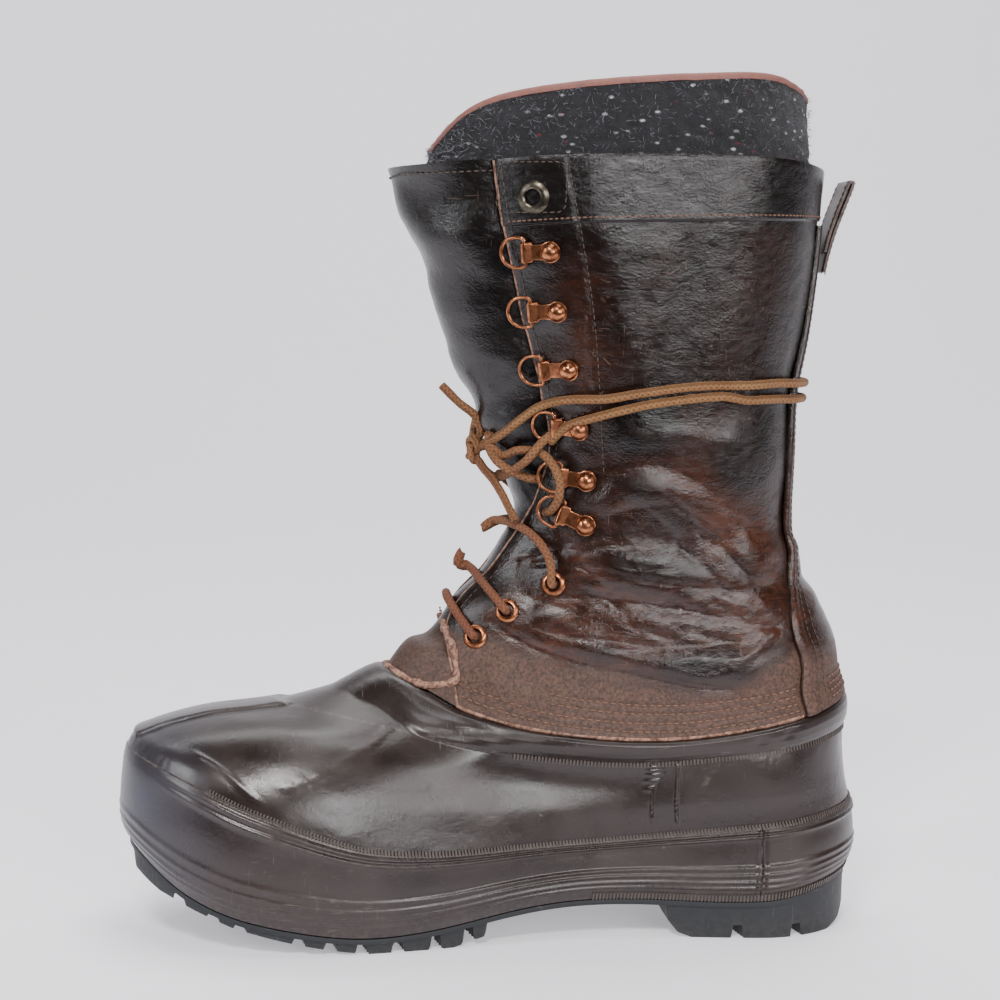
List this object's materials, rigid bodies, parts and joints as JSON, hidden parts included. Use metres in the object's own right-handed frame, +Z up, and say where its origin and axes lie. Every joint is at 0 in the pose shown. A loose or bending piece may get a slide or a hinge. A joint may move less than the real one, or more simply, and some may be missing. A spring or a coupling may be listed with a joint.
{
  "type": "pac boot",
  "caption": "Right pac boot: lugged rubber sole and shell, tall laced leather shaft with D-ring hooks, bellows tongue, back pull loop and a loose felt liner standing above the cuff.",
  "frame": {"origin": "on the floor under the middle of the heel block, on its flat tread face", "axes": "+Z up, -X towards the toe, -Y towards the medial side of this right boot"},
  "size_m": [0.321, 0.1215, 0.3633],
  "materials": {
    "shell_rubber": "satin dark brown moulded rubber",
    "sole_rubber": "near-black moulded rubber, dusty in the tread",
    "leather": "creased oil-finished dark brown leather",
    "felt": "flecked charcoal wool felt",
    "lace": "braided round lace, ochre brown",
    "copper": "worn copper-coloured plating",
    "dark_brass": "dark antique brass"
  },
  "bodies": {
    "boot": {"backstay": "leather", "clip_1_lateral": "copper", "clip_1_medial": "copper", "clip_2_lateral": "copper", "clip_2_medial": "copper", "clip_3_lateral": "copper", "clip_3_medial": "copper", "clip_4_lateral": "copper", "clip_4_medial": "copper", "clip_5_lateral": "copper", "clip_5_medial": "copper", "clip_6_lateral": "copper", "clip_6_medial": "copper", "eyelet_high_lateral": "copper", "eyelet_high_medial": "copper", "eyelet_low_lateral": "copper", "eyelet_low_medial": "copper", "eyelet_mid_lateral": "copper", "eyelet_mid_medial": "copper", "grommet_lateral": "dark_brass", "grommet_medial": "dark_brass", "insole": "felt", "lace_bar_high": "lace", "lace_bar_low": "lace", "lace_bar_mid": "lace", "lace_crossings": "lace", "lace_end_lower": "lace", "lace_end_upper": "lace", "lace_knot": "lace", "lace_wrap_lower": "lace", "lace_wrap_upper": "lace", "liner": "felt", "outsole": "sole_rubber", "pull_loop": "leather", "ring_4_lateral": "copper", "ring_4_medial": "copper", "ring_5_lateral": "copper", "ring_5_medial": "copper", "ring_6_lateral": "copper", "ring_6_medial": "copper", "tongue": "leather", "upper_leather_shaft": "leather", "upper_rubber_shell": "shell_rubber"},
    "ring_1_medial": {"ring_1_medial": "copper"},
    "ring_2_medial": {"ring_2_medial": "copper"},
    "ring_3_medial": {"ring_3_medial": "copper"},
    "ring_1_lateral": {"ring_1_lateral": "copper"},
    "ring_2_lateral": {"ring_2_lateral": "copper"},
    "ring_3_lateral": {"ring_3_lateral": "copper"}
  },
  "joints": [
    {"name": "ring_1_medial_hinge", "type": "hinge", "parent": "boot", "child": "ring_1_medial", "pos_m": [-0.11058, -0.04566, 0.28893], "axis": [-0.1095, -0.1888, 0.9759], "range_deg": [0, 150]},
    {"name": "ring_2_medial_hinge", "type": "hinge", "parent": "boot", "child": "ring_2_medial", "pos_m": [-0.10697, -0.04137, 0.2647], "axis": [-0.1209, -0.194, 0.9735], "range_deg": [0, 150]},
    {"name": "ring_3_medial_hinge", "type": "hinge", "parent": "boot", "child": "ring_3_medial", "pos_m": [-0.10125, -0.03686, 0.24068], "axis": [-0.1532, -0.2281, 0.9615], "range_deg": [0, 150]},
    {"name": "ring_1_lateral_hinge", "type": "hinge", "parent": "boot", "child": "ring_1_lateral", "pos_m": [-0.11067, 0.04142, 0.28895], "axis": [0.1145, -0.1804, -0.9769], "range_deg": [0, 150]},
    {"name": "ring_2_lateral_hinge", "type": "hinge", "parent": "boot", "child": "ring_2_lateral", "pos_m": [-0.10705, 0.03733, 0.26471], "axis": [0.1254, -0.1853, -0.9746], "range_deg": [0, 150]},
    {"name": "ring_3_lateral_hinge", "type": "hinge", "parent": "boot", "child": "ring_3_lateral", "pos_m": [-0.10132, 0.03311, 0.24069], "axis": [0.1569, -0.2171, -0.9635], "range_deg": [0, 150]}
  ]
}
